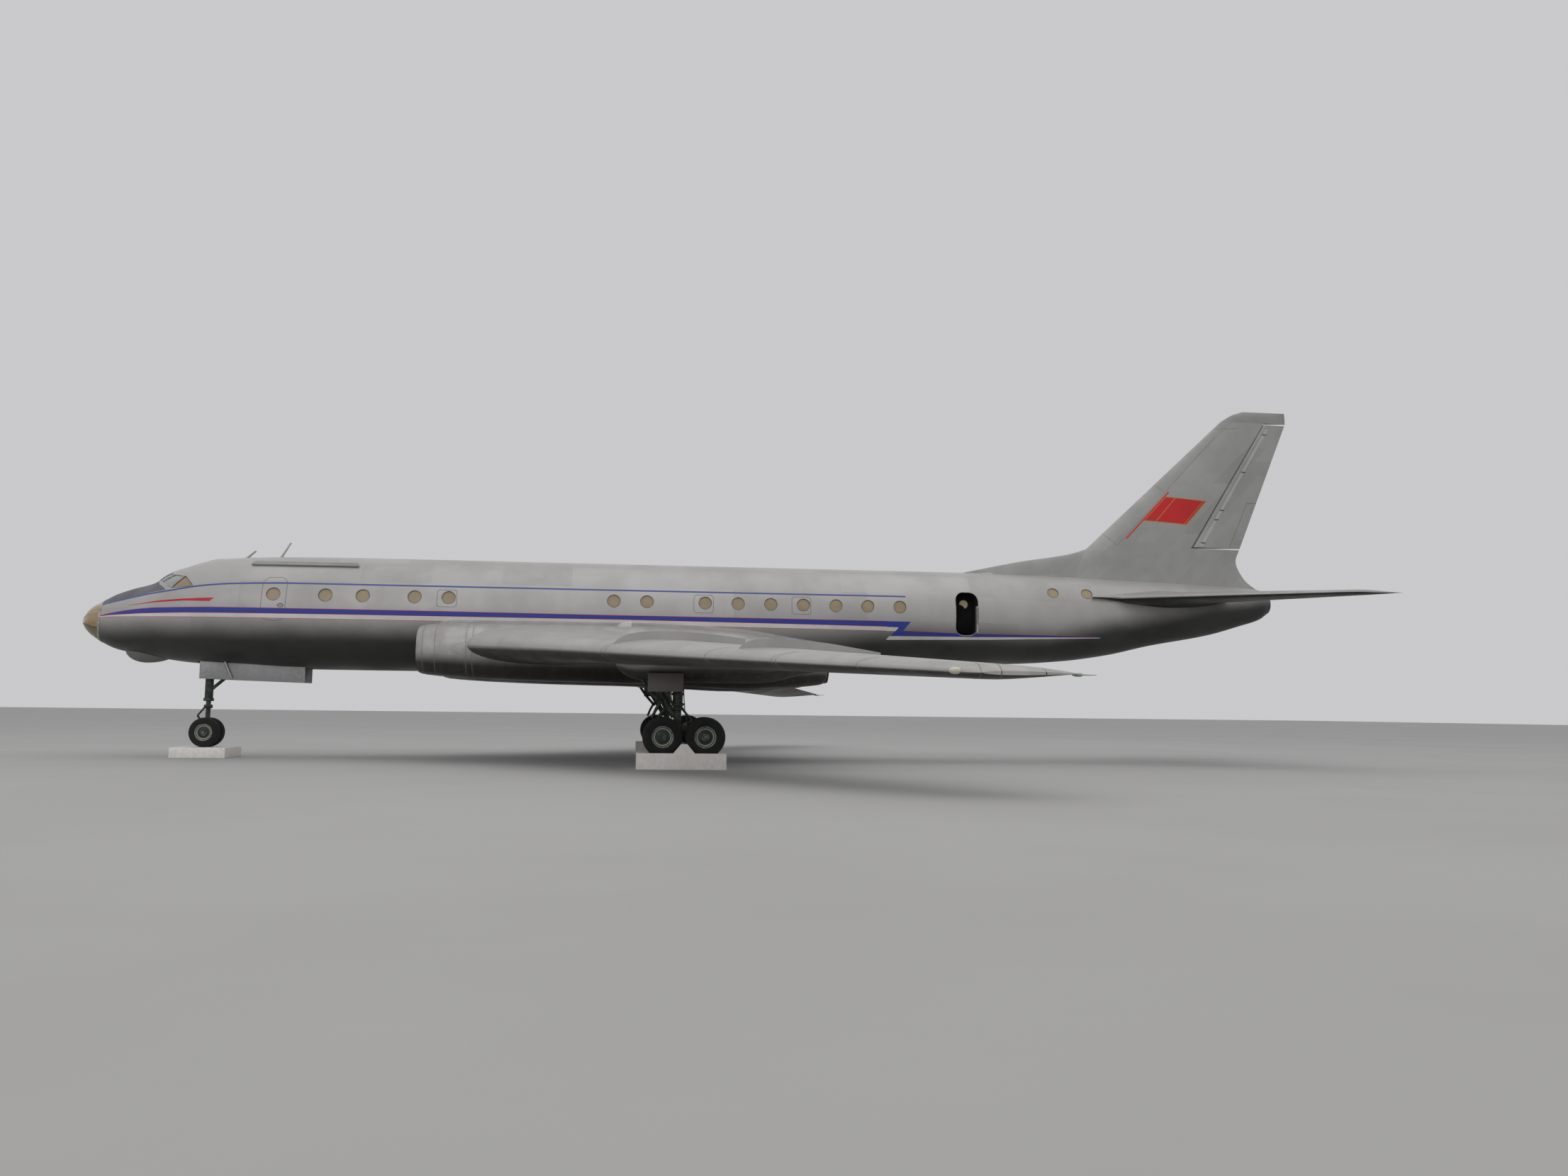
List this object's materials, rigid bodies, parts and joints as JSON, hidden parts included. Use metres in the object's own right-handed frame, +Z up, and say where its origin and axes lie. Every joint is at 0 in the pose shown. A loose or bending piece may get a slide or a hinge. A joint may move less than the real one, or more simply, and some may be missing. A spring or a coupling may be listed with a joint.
{
  "type": "narrow body airliner",
  "caption": "Twin jet airliner with low swept wing, engines in the wing roots, glazed nose and gear fairings behind the wing, parked on three plinths.",
  "frame": {"origin": "on the ground under the plinths, on the centre line at mid length", "axes": "+X aft along the body, +Y to starboard, +Z up"},
  "size_m": [38.85, 34.54, 12.04],
  "materials": {
    "upper_paint": "satin silver grey paint",
    "lower_paint": "satin aluminium paint, dusty",
    "bare_metal": "dull aluminium",
    "dark_metal": "dark grey paint",
    "window_cover": "tan blind behind the pane",
    "cockpit_glass": "dark pane, seen from outside",
    "gear_paint": "dark green enamel, greasy",
    "tyre": "weathered rubber",
    "tip_paint": "grey green paint",
    "plinth_paint": "whitewashed concrete"
  },
  "bodies": {
    "root": {"fuselage_nose": "upper_paint", "fuselage_centre": "upper_paint", "fuselage_tail": "upper_paint", "nose_glazing": "window_cover", "cockpit_glazing": "cockpit_glass", "chin_radome": "lower_paint", "front_door": "upper_paint", "roof_rail": "dark_metal", "roof_mast_front": "bare_metal", "roof_mast_rear": "bare_metal", "belly_mast": "bare_metal", "fin": "upper_paint", "fin_tip_cap": "tip_paint", "nose_leg": "gear_paint", "plinth_nose": "plinth_paint", "tailplane_left": "lower_paint", "nacelle_left": "lower_paint", "engine_left": "dark_metal", "wing_left": "lower_paint", "flap_inner_left": "lower_paint", "flap_outer_left": "lower_paint", "gear_pod_left": "lower_paint", "main_leg_left": "gear_paint", "bogie_left": "gear_paint", "leg_door_left": "dark_metal", "nose_door_left": "bare_metal", "plinth_left": "plinth_paint", "tailplane_right": "lower_paint", "nacelle_right": "lower_paint", "engine_right": "dark_metal", "wing_right": "lower_paint", "flap_inner_right": "lower_paint", "flap_outer_right": "lower_paint", "gear_pod_right": "lower_paint", "main_leg_right": "gear_paint", "bogie_right": "gear_paint", "leg_door_right": "dark_metal", "nose_door_right": "bare_metal", "plinth_right": "plinth_paint"},
    "rudder": {"rudder": "upper_paint"},
    "nose_fork": {"nose_fork": "gear_paint"},
    "nose_wheels": {"nose_wheels": "tyre"},
    "elevator_left": {"elevator_left": "lower_paint"},
    "aileron_left": {"aileron_left": "lower_paint"},
    "wheels_front_left": {"wheels_front_left": "tyre"},
    "wheels_rear_left": {"wheels_rear_left": "tyre"},
    "elevator_right": {"elevator_right": "lower_paint"},
    "aileron_right": {"aileron_right": "lower_paint"},
    "wheels_front_right": {"wheels_front_right": "tyre"},
    "wheels_rear_right": {"wheels_rear_right": "tyre"}
  },
  "joints": [
    {"name": "rudder_hinge", "type": "hinge", "parent": "root", "child": "rudder", "pos_m": [16.07523, 0, 7.262], "axis": [0.5162, 0, 0.8565], "range_deg": [-25, 25]},
    {"name": "elevator_right_hinge", "type": "hinge", "parent": "root", "child": "elevator_right", "pos_m": [15.66272, 0.96, 5.38079], "axis": [0.5286, 0.8485, -0.0253], "range_deg": [-25, 15]},
    {"name": "elevator_left_hinge", "type": "hinge", "parent": "root", "child": "elevator_left", "pos_m": [15.66272, -0.96, 5.38079], "axis": [-0.5286, 0.8485, 0.0253], "range_deg": [-25, 15]},
    {"name": "aileron_right_hinge", "type": "hinge", "parent": "root", "child": "aileron_right", "pos_m": [2.02751, 11.66, 2.77947], "axis": [0.4841, 0.8726, -0.0656], "range_deg": [-20, 20]},
    {"name": "aileron_left_hinge", "type": "hinge", "parent": "root", "child": "aileron_left", "pos_m": [2.02751, -11.66, 2.77947], "axis": [-0.4841, 0.8726, 0.0656], "range_deg": [-20, 20]},
    {"name": "nose_steering", "type": "hinge", "parent": "root", "child": "nose_fork", "pos_m": [-15.675, 0, 0.757], "axis": [0, 0, 1], "range_deg": [-35, 35]},
    {"name": "nose_wheels_spin", "type": "hinge", "parent": "nose_fork", "child": "nose_wheels", "pos_m": [-15.675, 0, 0.757], "axis": [0, 1, 0], "continuous": true},
    {"name": "wheels_front_left_spin", "type": "hinge", "parent": "root", "child": "wheels_front_left", "pos_m": [-1.975, -5.66, 0.857], "axis": [0, 1, 0], "continuous": true},
    {"name": "wheels_rear_left_spin", "type": "hinge", "parent": "root", "child": "wheels_rear_left", "pos_m": [-0.825, -5.66, 0.857], "axis": [0, 1, 0], "continuous": true},
    {"name": "wheels_front_right_spin", "type": "hinge", "parent": "root", "child": "wheels_front_right", "pos_m": [-1.975, 5.66, 0.857], "axis": [0, 1, 0], "continuous": true},
    {"name": "wheels_rear_right_spin", "type": "hinge", "parent": "root", "child": "wheels_rear_right", "pos_m": [-0.825, 5.66, 0.857], "axis": [0, 1, 0], "continuous": true}
  ],
  "couplings": [
    {"joint": "elevator_left_hinge", "follows": "elevator_right_hinge", "ratio": 1},
    {"joint": "aileron_left_hinge", "follows": "aileron_right_hinge", "ratio": -1}
  ]
}
